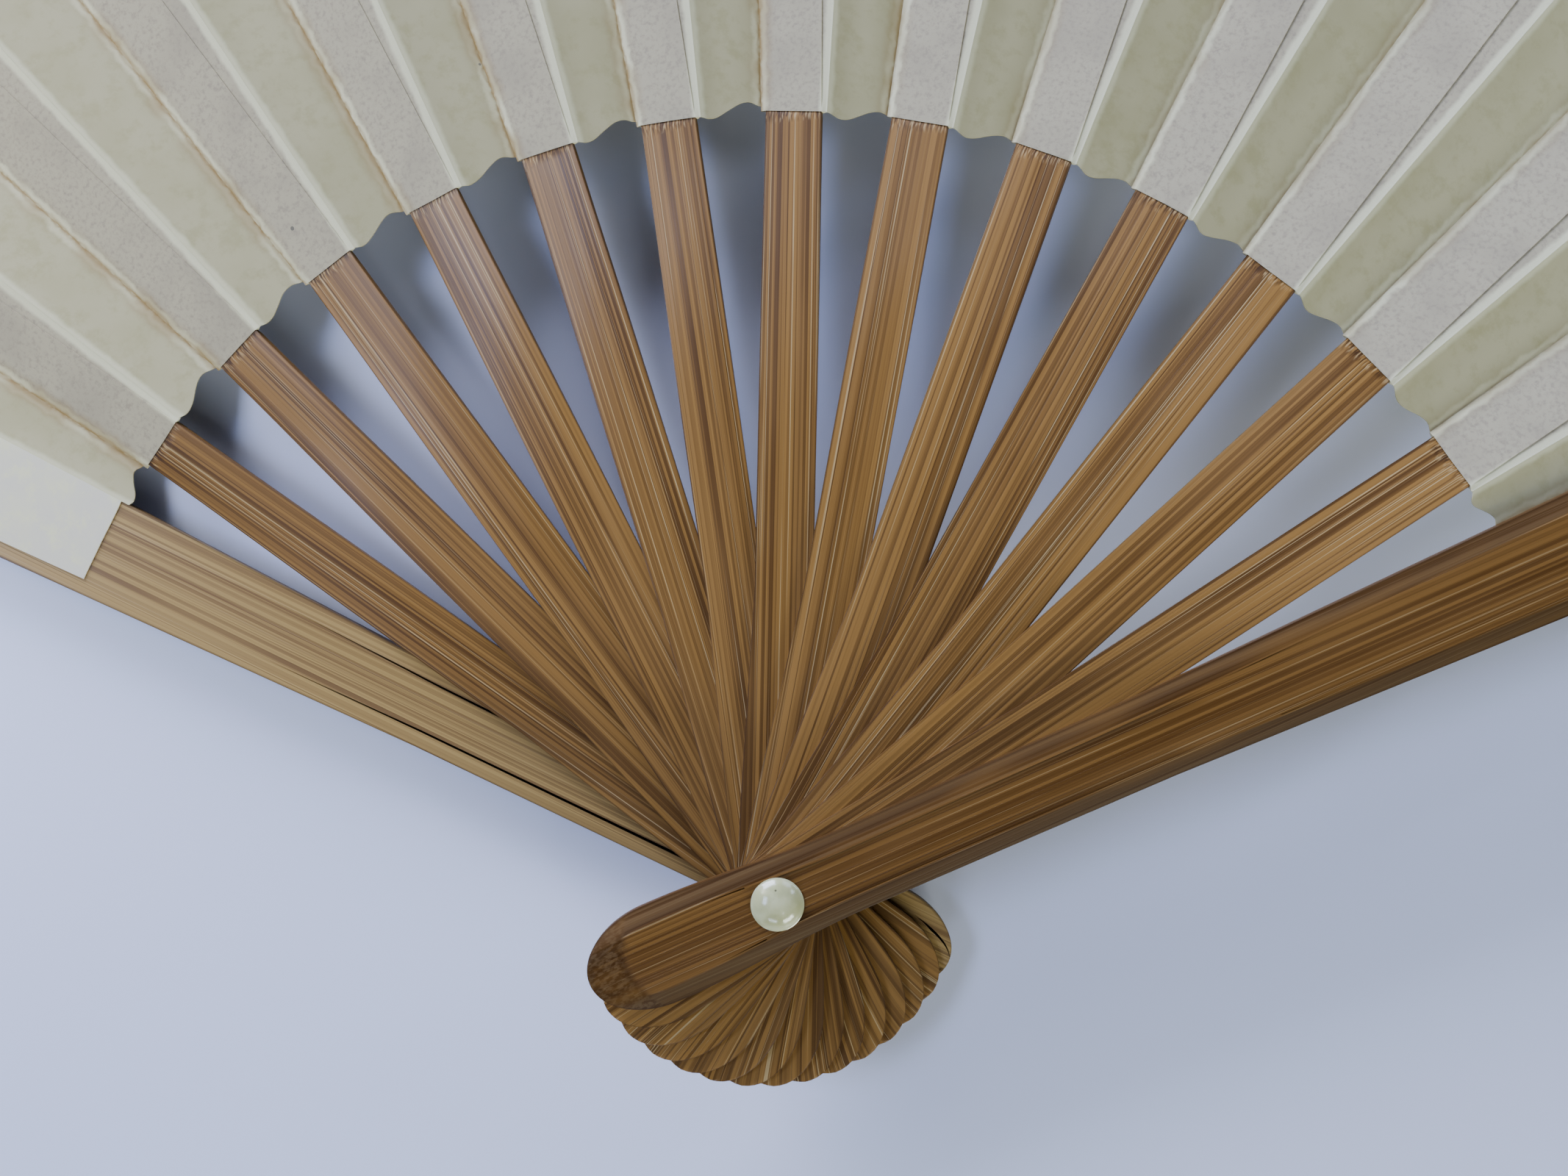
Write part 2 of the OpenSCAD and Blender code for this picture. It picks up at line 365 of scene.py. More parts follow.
def leaf_paper(name, base_colour, fleck_colour, colours, fleck_size, roughness, margin_share):
    """Thin handmade paper, folded and glued: matt, with short pulp fibres and clouding, a
    creamier margin at the creases, partly glue-soaked paper and partly painted highlight, and
    old brown stains down the valleys, partly painted shade of the creases."""
    material, tree, shader = blank_material(name)
    sheet, _ = parts_of(tree, "sheet")
    _, fold = parts_of(tree, "fold")
    pulp = add(tree, "ShaderNodeTexNoise", {
        "Vector": sheet, "Scale": 1 / fleck_size, "Detail": 6.0, "Roughness": 0.7}).outputs[0]
    cloud = add(tree, "ShaderNodeTexNoise", {
        "Vector": sheet, "Scale": 1 / (9 * MM), "Detail": 2.0}).outputs[0]
    waver = add(tree, "ShaderNodeTexNoise", {
        "Vector": sheet, "Scale": 1 / (2.2 * MM), "Detail": 3.0}).outputs[0]
    base = mixed(tree, ramp(tree, pulp, 0.46, 0.68), base_colour, fleck_colour)
    base = mixed(tree, ramp(tree, cloud, 0.42, 0.7, 0.0, 0.45), base, fleck_colour)
    wander = maths(tree, "MULTIPLY", maths(tree, "SUBTRACT", waver, 0.5), 1.6 * MM)
    valley = maths(tree, "ADD", fold[0], wander)
    ridge = maths(tree, "ADD", fold[1], maths(tree, "MULTIPLY", wander, 0.4))
    # paler margin beside the creases: partly glue-soaked paper, partly painted highlight on the
    # crease rims
    near = maths(tree, "MINIMUM", valley, ridge)
    base = mixed(tree, ramp(tree, near, 1.5 * MM, 0.7 * MM, 0.0, margin_share), base,
                 colours.margin)
    # brown halo and line down the valley: partly old stain, partly painted shade in the crease
    stain_and_shade_halo = maths(tree, "MULTIPLY", ramp(tree, valley, 2.6 * MM, 0.2 * MM),
                 ramp(tree, cloud, 0.36, 0.62, 0.12, 0.62))
    base = mixed(tree, maths(tree, "MULTIPLY", stain_and_shade_halo, fold[2]), base, colours.valley_stain_and_shade)
    line = maths(tree, "MULTIPLY", ramp(tree, valley, 0.62 * MM, 0.1 * MM),
                 ramp(tree, waver, 0.35, 0.6, 0.30, 0.85))
    base = mixed(tree, maths(tree, "MULTIPLY", line, fold[2]), base, colours.valley_stain_and_shade)
    cells = add(tree, "ShaderNodeTexVoronoi", {
        "Vector": sheet, "Scale": 1 / (11 * MM), "Randomness": 1.0})
    chosen = add(tree, "ShaderNodeSeparateColor", {0: cells.outputs["Color"]}).outputs
    radius = ramp(tree, chosen[0], 0.55, 1.0, 0.0, 0.036)
    spot = maths(tree, "LESS_THAN", cells.outputs["Distance"], radius)
    base = mixed(tree, maths(tree, "MULTIPLY", spot, 0.75), base, colours.speck)
    relief = add(tree, "ShaderNodeBump", {
        "Strength": 0.35, "Distance": 0.06 * MM, "Height": pulp})
    tree.links.new(base, shader.inputs["Base Color"])
    tree.links.new(relief.outputs[0], shader.inputs["Normal"])
    shader.inputs["Roughness"].default_value = roughness
    shader.inputs["Specular IOR Level"].default_value = 0.3
    return material


def cream_plastic(colours):
    """Moulded cream plastic, polished: a slightly yellowed body with a soft glow under a
    clear highlight, and one dark pinhole from the mould."""
    material, tree, shader = blank_material("moulded_cream_plastic")
    here = add(tree, "ShaderNodeTexCoord").outputs["Object"]
    cloud = add(tree, "ShaderNodeTexNoise", {
        "Vector": here, "Scale": 1 / (2.6 * MM), "Detail": 3.0}).outputs[0]
    base = mixed(tree, ramp(tree, cloud, 0.35, 0.7, 0.0, 0.5), colours.rivet,
                 colours.rivet_cloud)
    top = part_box("rivet_cap")[1].z
    gap = add(tree, "ShaderNodeVectorMath", {
        0: here, 1: (-0.3 * MM, 2.3 * MM, top - 0.6 * MM)}, operation="DISTANCE").outputs["Value"]
    base = mixed(tree, ramp(tree, gap, 0.19 * MM, 0.12 * MM, 0.0, 0.85), base,
                 colours.pinhole)
    relief = add(tree, "ShaderNodeBump", {
        "Strength": 0.15, "Distance": 0.05 * MM, "Height": cloud})
    tree.links.new(base, shader.inputs["Base Color"])
    tree.links.new(relief.outputs[0], shader.inputs["Normal"])
    shader.inputs["Roughness"].default_value = 0.16
    shader.inputs["Subsurface Weight"].default_value = 0.25
    shader.inputs["Subsurface Radius"].default_value = (0.0012, 0.001, 0.0007)
    shader.inputs["Subsurface Scale"].default_value = 1.0
    return material


def lacquered_table(colours):
    """Sprayed white board, slightly bluish, with a satin lacquer."""
    material, tree, shader = blank_material("lacquered_white_board")
    shader.inputs["Base Color"].default_value = colours.table
    shader.inputs["Roughness"].default_value = 0.38
    return material


def finish_of(name):
    """The named finish, made the first time that a piece asks for it."""
    found = bpy.data.materials.get(name)
    if found:
        return found
    c = bpy.context.scene.fan_colours
    if name == "carbonised_bamboo":
        return carbonised_bamboo(name, c.bamboo_light, c.bamboo_dark, c.bamboo_pale_and_highlight, c.burn)
    if name == "bevelled_bamboo":
        return carbonised_bamboo(name, c.guard_light, c.guard_dark, c.bamboo_pale_and_highlight, c.burn,
                                 c.guard_facet_and_shade)
    if name == "inner_face_bamboo":
        return carbonised_bamboo(name, c.inner_light, c.inner_dark, c.bamboo_pale_and_highlight, c.burn,
                                 c.guard_facet_and_shade)
    if name == "unsized_paper":
        return leaf_paper(name, c.pocket, c.pocket_fleck, c, 0.7 * MM, 0.95, 0.8)
    if name == "sized_paper":
        return leaf_paper(name, c.pleat, c.pleat_fleck, c, 3.2 * MM, 0.7, 0.5)
    # the end panels' paler paper is painted light
    if name == "end_paper_painted_light":
        return leaf_paper(name, c.end_sheet_painted_light, c.margin, c, 3.2 * MM, 0.7, 0.5)
    if name == "moulded_cream_plastic":
        return cream_plastic(c)
    return lacquered_table(c)


# ---------------------------------------------------------------- meshes


def to_piece(bm, name, finish, values=None):
    """Turns a bmesh into a smooth-shaded piece at the origin with its finish."""
    mesh = bpy.data.meshes.new(name)
    bm.to_mesh(mesh)
    bm.free()
    for attribute, rows in (values or {}).items():
        layer = mesh.attributes.new(attribute, "FLOAT_VECTOR", "POINT")
        layer.data.foreach_set("vector", [x for row in rows for x in row])
    mesh.shade_smooth()
    mesh.set_sharp_from_angle(angle=SMOOTH_UNDER)
    mesh.materials.append(finish_of(finish))
    piece = bpy.data.objects.new(name, mesh)
    bpy.context.scene.collection.objects.link(piece)
    return piece


def grid_plate(columns, rows):
    """A flat grid and, for each of its points, the column and the row that it belongs to."""
    bm = bmesh.new()
    bmesh.ops.create_grid(bm, x_segments=columns, y_segments=rows, size=1)
    places = {v: (round((v.co.x + 1) / 2 * columns), round((v.co.y + 1) / 2 * rows))
              for v in bm.verts}
    return bm, places


def thicken(bm, places):
    """Extrudes the grid into a plate; returns the places of its lower and upper points."""
    lower = dict(places)
    made = bmesh.ops.extrude_face_region(bm, geom=bm.faces[:])
    upper = {}
    by_spot = {v.co.to_tuple(9): place for v, place in lower.items()}
    for v in made["geom"]:
        if isinstance(v, bmesh.types.BMVert):
            upper[v] = by_spot[v.co.to_tuple(9)]
    return lower, upper


def butt_half(y):
    """Half width of any stick from its butt's tip to its waist."""
    s = bpy.context.scene.fan_sizes
    nose_y = s.butt_nose - BUTT_R
    if y < nose_y:
        return s.butt_width / 2 * math.sqrt(max(0.0, 1 - ((nose_y - y) / s.butt_nose) ** 2))
    turn = (1 + math.cos(math.pi * (y - nose_y) / (s.waist_place - nose_y))) / 2
    return s.waist_width / 2 + (s.butt_width - s.waist_width) / 2 * turn


def stick_half(points, y):
    """Half width of a stick at y; past the waist it follows straight edges through points."""
    s = bpy.context.scene.fan_sizes
    if y <= s.waist_place:
        return butt_half(y)
    line = [(s.waist_place, s.waist_width / 2)] + points
    for (y0, w0), (y1, w1) in zip(line, line[1:]):
        if y <= y1:
            return w0 + (w1 - w0) * (y - y0) / (y1 - y0)
    return line[-1][1]


def steps(start, end, count):
    return [start + (end - start) * i / count for i in range(count)]


def butt_rows(fine):
    """Rows along the butt: round its nose, past the bore, and on to the waist."""
    s = bpy.context.scene.fan_sizes
    nose_y = s.butt_nose - BUTT_R
    rows = [nose_y - s.butt_nose * math.cos(math.pi / 2 * i / (12 * fine))
            for i in range(12 * fine)]
    rows += steps(nose_y, -s.bore, 6 * fine)
    return rows + steps(-s.bore, s.bore, 4) + steps(s.bore, s.waist_place, 3 * fine)


def drill(bm, places, columns, rows):
    """Opens the round bore: takes out the cells round the pivot and rounds their border."""
    bore = bpy.context.scene.fan_sizes.bore
    middle = columns // 2
    first = min(range(len(rows)), key=lambda i: abs(rows[i] + bore))
    inside = [f for f in bm.faces
              if all(abs(places[v][0] - middle) <= 2 and first <= places[v][1] <= first + 4
                     for v in f.verts)]
    ring = {v for f in inside for v in f.verts
            if abs(places[v][0] - middle) == 2 or places[v][1] in (first, first + 4)}
    bmesh.ops.delete(bm, geom=inside, context="FACES")
    for v in ring:
        v.co.xy = v.co.xy.normalized() * bore
    for v in [v for v in places if not v.is_valid]:
        del places[v]


def close_tip(bm):
    """Merges the points that meet at the butt's tip, which also drops its flat faces."""
    bmesh.ops.remove_doubles(bm, verts=bm.verts[:], dist=1e-6)


def round_edges(bm, reach, offset):
    """Sands the long edges of a stick up to y = reach."""
    edges = [e for e in bm.edges
             if len(e.link_faces) == 2 and e.calc_face_angle(0) > BEVEL_OVER
             and all(v.co.y < reach and v.co.xy.length > 2.5 * MM for v in e.verts)]
    bmesh.ops.bevel(bm, geom=edges, offset=offset, offset_type="OFFSET", segments=2,
                    profile=0.5, affect="EDGES", material=-1, clamp_overlap=True)


# How much paler or darker than the average each slim stick is, in turn
STICK_TONES = [0.03, 0.0, 0.03, 0.05, -0.02, -0.01, -0.03, 0.05, -0.02, -0.03, 0.02, 0.06, 0.01]


def grain_values(bm, half, seed, tone, reach=None):
    """Attribute rows of a stick: grain coordinates, and wear at its edges and cut end."""
    grain, wear = [], []
    for v in bm.verts:
        edge = abs(v.co.x) / max(half(v.co.y), 0.1 * MM)
        edge = smooth((edge - 0.90) / 0.10)
        end = smooth((v.co.y - reach + 1.8 * MM) / (1.3 * MM)) if reach else 0.0
        grain.append((v.co.x + 0.6 * v.co.z, v.co.y, seed))
        wear.append((edge, end, tone))
    return {"grain": grain, "wear": wear}


def fold_height(r):
    """How far a crease stands above or below the middle of its stick, at radius r."""
    s = bpy.context.scene.fan_sizes
    steep = math.tan(CREASE_SLOPE) * math.tan(POCKET_HALF_ANGLE)
    return s.fold_height * math.tanh(r * steep / s.fold_height)


def roll(y):
    """How far a slim stick is twisted about its length, in radians: the leaf lifts its
    clockwise edge."""
    inside = max(y, LEAF_INNER)
    full = math.atan(fold_height(inside) / (inside * math.tan(POCKET_HALF_ANGLE)))
    return full * smooth((y - TWIST_START) / (LEAF_INNER - TWIST_START))


def rolled(v, level):
    angle = roll(v.y)
    x, z = v.x, v.z
    return Vector((x * math.cos(angle) - z * math.sin(angle), v.y,
                   level + x * math.sin(angle) + z * math.cos(angle)))


def point_stick(bm, k):
    """Turns a stick made along +Y to its own direction."""
    bmesh.ops.rotate(bm, verts=bm.verts[:], cent=(0, 0, 0),
                     matrix=Matrix.Rotation(-stick_angle(k), 3, "Z"))


def mouth_slant(x):
    """How much nearer the pivot the leaf's edge lies at x than in the middle of a stick."""
    return MOUTH_SLANT * x / (LEAF_INNER * math.tan(POCKET_HALF_ANGLE))


def make_rib(k):
    """One slim stick: butt, bore, twisted shank, sloping shoulder and slip."""
    s = bpy.context.scene.fan_sizes
    rng = random.Random(700 + k)
    level = STICK_LEVEL[k]
    shoulder, mouth, neck = (LEAF_INNER + d * MM for d in (-0.7, 0, 0.9))
    points = [(s.rib_shank, s.rib_width / 2), (neck, s.rib_neck / 2),
              (neck + MM, s.slip_width / 2), (SLIP_END, s.slip_end / 2)]
    thickness = [(shoulder, RIB_T), (mouth, 0.66 * MM), (neck, s.slip_thickness),
                 (SLIP_END, s.slip_thickness)]
    rows = butt_rows(1) + steps(s.waist_place, s.rib_shank, 6) \
        + steps(s.rib_shank, shoulder - MM, 18) + [shoulder - MM, shoulder, mouth, neck] \
        + steps(neck + MM, SLIP_END, 14) + [SLIP_END]
    shares = [-1, -0.94, -0.82, -0.66, -0.46, 0, 0, 0, 0, 0, 0.46, 0.66, 0.82, 0.94, 1]
    bores = [0, 0, 0, 0, 0, -1, -0.5, 0, 0.5, 1, 0, 0, 0, 0, 0]
    ridges = [rng.uniform(0, 1) * 0.03 * MM for _ in shares]
    bm, places = grid_plate(len(shares) - 1, len(rows) - 1)
    for v, (column, row) in places.items():
        y = rows[row]
        half = stick_half(points, y)
        x = shares[column] * half + bores[column] * min(s.bore, 0.27 * half)
        v.co = (x, y - (mouth_slant(x) if shoulder <= y <= neck else 0), 0)
    drill(bm, places, len(shares) - 1, rows)
    lower, upper = thicken(bm, places)
    for layer, side in ((lower, -1), (upper, 1)):
        for v, (column, row) in layer.items():
            edge = abs(v.co.x) / max(stick_half(points, rows[row]), MM)
            drop = s.crown * edge ** 2 + ridges[column] if side > 0 else 0
            thick = along_curve([(0, RIB_T)] + thickness, rows[row])
            v.co.z = side * (thick / 2 - (drop if rows[row] <= shoulder else 0))
    close_tip(bm)
    round_edges(bm, shoulder - 0.8 * MM, s.edge_round)
    values = grain_values(bm, lambda y: stick_half(points, y), 5.3 * k,
                          STICK_TONES[(k - 1) % len(STICK_TONES)], mouth)
    for v in bm.verts:
        v.co = rolled(v.co, level)
    point_stick(bm, k)
    piece = to_piece(bm, f"stick_{two(k)}", "carbonised_bamboo", values)
    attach(piece, body_name(k))
    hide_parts(f"rib_{two(k)}")


def guard_points():
    s = bpy.context.scene.fan_sizes
    return [(s.guard_shank, s.guard_width / 2), (LEAF_OUTER + s.guard_overrun, s.guard_end / 2)]


def guard_half(r):
    return stick_half(guard_points(), r)


def make_guard(k, outward):
    """One guard: a thick stick whose outer face is bevelled; outward is 1 up, -1 down."""
    s = bpy.context.scene.fan_sizes
    node = body_name(k)
    low, high = (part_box(node)[i].z for i in (0, 1))
    points = guard_points()
    end = points[-1][0]
    rows = butt_rows(3) + steps(s.waist_place, s.guard_shank, 8) \
        + steps(s.guard_shank, end, 26) + [end]
    bands = [0, -0.05, -0.3, -0.6, -0.9, -1.0, -1.08]
    shares = [-1] * 7 + [-0.62] + [0] * 5 + [0.62] + [1] * 7
    insets = [-b for b in bands] + [0] * 7 + bands[::-1]
    bores = [0] * 8 + [-1, -0.5, 0, 0.5, 1] + [0] * 8
    bm, places = grid_plate(len(shares) - 1, len(rows) - 1)
    for v, (column, row) in places.items():
        half = stick_half(points, rows[row])
        band = min(s.chamfer_width, 0.42 * half)
        v.co = (shares[column] * half + insets[column] * band
                + bores[column] * min(s.bore, 0.3 * half), rows[row], 0)
    drill(bm, places, len(shares) - 1, rows)
    lower, upper = thicken(bm, places)
    tip = -BUTT_R

    def facets(x, y):
        """How far a point is down the side bevel and down the tip facet, from 0 to 1."""
        half = stick_half(points, y)
        side = 1 - (half - abs(x)) / s.chamfer_width
        nose = 1 - (y - tip - TIP_CURVE * (x / MM) ** 2 * MM) / s.tip_facet
        return min(max(side, 0), 1), min(max(nose, 0), 1)

    for layer, top in ((lower, False), (upper, True)):
        outer = top == (outward > 0)
        for v in layer:
            side, nose = facets(v.co.x, v.co.y)
            drop = s.chamfer_depth * max(side, nose) if outer else 0
            v.co.z = high - drop if top else low + drop
    close_tip(bm)
    round_edges(bm, end + MM, s.edge_round)
    middle = (low + high) / 2
    values = grain_values(bm, lambda y: stick_half(points, y), 31.7 * (k + 1), 0.0)
    cut = []
    for v in bm.verts:
        side, nose = facets(v.co.x, v.co.y)
        outer = (v.co.z - middle) * outward > 0
        rim = max(0.0, 1 - abs(max(side, nose * 0.4) - 0.05) / 0.07)
        cut.append((smooth(side / 0.06), smooth(nose / 0.2), rim) if outer else (0, 0, 0))
    values["facet"] = cut
    point_stick(bm, k)
    finish = "inner_face_bamboo" if k == 0 else "bevelled_bamboo"
    piece = to_piece(bm, guard_side(k) + "_guard", finish, values)
    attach(piece, node)
    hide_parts(node)


def cockle(x, y, seed):
    """Slight waves of the paper."""
    s = bpy.context.scene.fan_sizes
    return s.cockle * noise.noise(Vector((x / (9 * MM), y / (26 * MM), seed)))


def leaf_rows(count):
    """Shares from the leaf's inner to its outer edge, closer together near the inner one."""
    return [(i / count) ** 1.5 for i in range(count + 1)]


def make_pocket(k):
    """The two sheets around a slip: a flat sleeve, tilted by the fold of the leaf."""
    s = bpy.context.scene.fan_sizes
    level = STICK_LEVEL[k]
    # columns: between the creases and the slip's edges, and across the slip
    shares = [-1, -0.85, -0.6, -0.3, 0, 0, 0, 0.3, 0.6, 0.85, 1]
    slips = [0, 0, 0, 0, -1, 0, 1, 0, 0, 0, 0]
    rows = leaf_rows(44)
    spread = math.tan(POCKET_HALF_ANGLE)
    outer = LEAF_OUTER * math.cos(POCKET_HALF_ANGLE)
    play = 0.05 * MM

    def slip_half(y):
        share = (y - LEAF_INNER) / (SLIP_END - LEAF_INNER)
        return s.rib_neck / 2 + (s.slip_end - s.rib_neck) / 2 * share + play

    def crease(y):
        """From the pocket's middle to its crease, along its slope."""
        return y * spread / math.cos(roll(y))

    bm, places = grid_plate(len(shares) - 1, len(rows) - 1)
    for v, (column, row) in places.items():
        y = LEAF_INNER + (outer - LEAF_INNER) * rows[row]
        slip, side = slip_half(y), math.copysign(1, shares[column])
        x = slips[column] * slip if 4 <= column <= 6 else \
            side * slip + shares[column] * (crease(y) - slip)
        ragged = 0.12 * MM * noise.noise(Vector((x / (0.8 * MM), k, 3.3)))
        y += (1 - rows[row]) ** 8 * (ragged - mouth_slant(x))
        v.co = (x, y, 0)
    lower, upper = thicken(bm, places)
    mouth = [f for f in bm.faces
             if len({id(v) for v in f.verts if v in lower}) == 2
             and all((lower.get(v) or upper.get(v))[1] == 0 for v in f.verts)
             and all(4 <= (lower.get(v) or upper.get(v))[0] <= 6 for v in f.verts)]
    for layer, side in ((lower, -1), (upper, 1)):
        for v in layer:
            y = v.co.y
            away = (abs(v.co.x) - slip_half(y)) / (crease(y) - slip_half(y))
            lip = 0.16 * MM * (1 - smooth((y - LEAF_INNER) / (1.6 * MM)))
            bulk = s.paper + (s.slip_thickness / 2 + 0.02 * MM + lip) * smooth(1 - 1.15 * away)
            ends = 1 - (v.co.x / crease(y)) ** 2
            v.co.z = side * bulk + ends * cockle(v.co.x, y, 4.1 * k) * smooth(away * 3)
    # the sleeve: the mouth between the two sheets is pushed back along the slip
    made = bmesh.ops.extrude_face_region(bm, geom=mouth)
    back = [v for v in made["geom"] if isinstance(v, bmesh.types.BMVert)]
    bmesh.ops.delete(bm, geom=mouth, context="FACES_ONLY")
    for v in back:
        share = v.co.x / slip_half(LEAF_INNER)
        v.co = (share * (slip_half(SLIP_END) - 0.02 * MM), SLIP_END + 0.4 * MM,
                math.copysign(s.slip_thickness / 2 + 0.01 * MM, v.co.z))
    sheet, fold = [], []
    for v in bm.verts:
        half = crease(v.co.y)
        sheet.append((v.co.x, v.co.y, 0.37 * k + 5))
        # the valley stain and its painted shade are weaker on the fan's right half
        stain_and_shade_strength = 1.0 if k <= MIDDLE else 0.55
        fold.append((half + v.co.x, half - v.co.x, stain_and_shade_strength))
    for v in bm.verts:
        v.co = rolled(v.co, level)
    point_stick(bm, k)
    piece = to_piece(bm, f"pocket_{two(k)}", "unsized_paper", {"sheet": sheet, "fold": fold})
    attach(piece, body_name(k))
    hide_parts(f"leaf_pocket_{two(k)}")


# Radius of a free pleat's inner edge, less that of the leaf, from its ridge to its valley
SCOOP_LEFT = [(0, -0.5), (0.12, -0.8), (0.8, 1.85), (1, 1.35)]
SCOOP_RIGHT = [(0, -0.5), (0.24, -1.2), (0.88, 0.95), (1, 0.75)]


def make_pleat(k):
    """A free pleat, from the ridge beside stick k - 1 to the valley beside stick k."""
    s = bpy.context.scene.fan_sizes
    columns, rows = 18, leaf_rows(44)
    scoop = SCOOP_LEFT if k <= MIDDLE else SCOOP_RIGHT
    rng = random.Random(400 + k)
    bow = rng.uniform(0.03, 0.08)

    def start(r):
        """Direction and level of the ridge at radius r."""
        if k == 1:
            return stick_angle(0) + math.atan(guard_half(r) / r), GUARD_HIGH + s.paper
        return stick_angle(k - 1) + POCKET_HALF_ANGLE, STICK_LEVEL[k - 1] + fold_height(r)

    def end(r):
        if k == LAST:
            return stick_angle(k) - math.atan(guard_half(r) / r), FRONT_LOW - s.paper
        return stick_angle(k) - POCKET_HALF_ANGLE, STICK_LEVEL[k] - fold_height(r)

    bm, places = grid_plate(columns, len(rows) - 1)
    spots = {}
    for v, (column, row) in places.items():
        t = column / columns
        inner = LEAF_INNER / math.cos(POCKET_HALF_ANGLE) + along_curve(scoop, t) * MM \
            + 0.07 * MM * noise.noise(Vector((t * 6, k, 1.7)))
        r = inner + (LEAF_OUTER - inner) * rows[row]
        (a0, z0), (a1, z1) = start(r), end(r)
        share = t + bow * math.sin(2 * math.pi * t)
        angle = a0 + (a1 - a0) * t
        # a straight chord between the creases, not an arc
        chord = math.cos((a1 - a0) / 2) / math.cos(angle - (a0 + a1) / 2)
        bend = 4 * t * (1 - t)
        level = z0 + (z1 - z0) * share + bend * cockle(t * 12 * MM, r, 7.7 * k)
        flat_r = r * (1 + (chord - 1) * rows[row])
        v.co = (flat_r * math.sin(angle), flat_r * math.cos(angle), level)
        spots[v.co.to_tuple(7)] = (t, r, r * (a1 - a0))
    lower, upper = thicken(bm, places)
    facts = {}
    for layer, side in ((lower, -1), (upper, 1)):
        for v in layer:
            facts[v] = spots[v.co.to_tuple(7)]
            v.co.z += side * s.paper
    # the valley stain and its painted shade are weaker on the fan's right half
    stain_and_shade_strength = 1.0 if k <= MIDDLE + 1 else 0.6
    sheet, fold, shares = [], [], []
    for v in bm.verts:
        t, r, width = facts[v]
        sheet.append((t * width, r, 0.61 * k + 11))
        fold.append(((1 - t) * width, t * width + 0.4 * MM, stain_and_shade_strength))
        shares.append(t)
    bmesh.ops.recalc_face_normals(bm, faces=bm.faces[:])
    piece = to_piece(bm, f"pleat_{two(k)}", "sized_paper", {"sheet": sheet, "fold": fold})
    mid = (LEAF_INNER + LEAF_OUTER) / 2
    (a0, _), (a1, _) = start(mid), end(mid)
    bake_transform(piece)
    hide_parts(f"leaf_pleat_{two(k)}")


def make_end_panel(k, side):
    """The leaf's end panel on a guard's inner face; side is 1 where the pleats leave it
    clockwise."""
    node = "leaf_end_" + guard_side(k)
    low, high = (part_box(node)[i].z for i in (0, 1))
    inner = LEAF_INNER + END_SETBACK
    rows = leaf_rows(30)
    shares = [0, 0.02, 0.1, 0.3, 0.5, 0.7, 0.9, 0.98, 1]
    bm, places = grid_plate(len(shares) - 1, len(rows) - 1)
    for v, (column, row) in places.items():
        straight = LEAF_OUTER * math.cos(math.atan(guard_half(LEAF_OUTER) / LEAF_OUTER))
        y = inner + (straight - inner) * rows[row]
        half = guard_half(y)
        x = -half + BARE_MARGIN + (2 * half - BARE_MARGIN) * shares[column]
        y += 0.08 * MM * noise.noise(Vector((x / MM, k, 9.1))) * (1 - rows[row]) ** 8
        v.co = (side * x, y, 0)
    lower, upper = thicken(bm, places)
    for v in lower:
        v.co.z = low
    for v in upper:
        v.co.z = high
    sheet = [(v.co.x, v.co.y, 2.9 * (k + 1)) for v in bm.verts]
    fold = [(8 * MM, 8 * MM, 0) for v in bm.verts]
    bmesh.ops.recalc_face_normals(bm, faces=bm.faces[:])
    point_stick(bm, k)
    # the end panel's paler paper colour is painted light
    piece = to_piece(bm, guard_side(k) + "_end_panel", "end_paper_painted_light",
                     {"sheet": sheet, "fold": fold})
    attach(piece, body_name(k))
    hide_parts(node)


def lathe(points, name, finish):
    """Spins a profile of (radius, level) points round the rivet's axis."""
    bm = bmesh.new()
    line = [bm.verts.new((r, 0, z)) for r, z in points]
    edges = [bm.edges.new(pair) for pair in zip(line, line[1:])]
    bmesh.ops.spin(bm, geom=line + edges, cent=(0, 0, 0), axis=(0, 0, 1),
                   angle=2 * math.pi, steps=72, use_merge=True)
    bmesh.ops.remove_doubles(bm, verts=bm.verts[:], dist=1e-7)
    bmesh.ops.recalc_face_normals(bm, faces=bm.faces[:])
    return to_piece(bm, name, finish)


def dome_profile(radius, height, flat, count=14):
    """A dome's profile from its rounded rim up to the flat or point on its top."""
    ball = (radius ** 2 + height ** 2) / (2 * height)
    first = math.asin(min(radius / ball, 1.0))
    last = math.asin(flat / ball)
    arc = [(ball * math.sin(first + (last - first) * i / count),
            height - ball + ball * math.cos(first + (last - first) * i / count))
           for i in range(count + 1)]
    rim = 0.16 * MM
    return [(radius - rim, 0), (radius - 0.3 * rim, 0.25 * rim), (radius - 0.05 * rim, rim)] \
        + arc[1:]


# ---------------------------------------------------------------- operators


class FAN_OT_guards(bpy.types.Operator):
    """Makes the two bevelled guards"""
    bl_idname = "fan.guards"
    bl_label = "Guards"

    def execute(self, context):
        make_guard(0, -1)
        make_guard(LAST, 1)
        return {"FINISHED"}


class FAN_OT_sticks(bpy.types.Operator):
    """Makes the slim sticks between the guards"""
    bl_idname = "fan.sticks"
    bl_label = "Slim Sticks"

    def execute(self, context):
        for k in range(1, LAST):
            make_rib(k)
        return {"FINISHED"}


class FAN_OT_pockets(bpy.types.Operator):
    """Makes the paper sleeves around the slips"""
    bl_idname = "fan.pockets"
    bl_label = "Leaf Pockets"

    def execute(self, context):
        for k in range(1, LAST):
            make_pocket(k)
        return {"FINISHED"}


class FAN_OT_pleats(bpy.types.Operator):
    """Makes the free pleats between the sticks"""
    bl_idname = "fan.pleats"
    bl_label = "Leaf Pleats"

    def execute(self, context):
        for k in range(1, LAST + 1):
            make_pleat(k)
        return {"FINISHED"}


class FAN_OT_end_panels(bpy.types.Operator):
    """Makes the leaf's two end panels, pasted on the guards"""
    bl_idname = "fan.end_panels"
    bl_label = "Leaf End Panels"

    def execute(self, context):
        make_end_panel(0, 1)
        make_end_panel(LAST, -1)
        return {"FINISHED"}


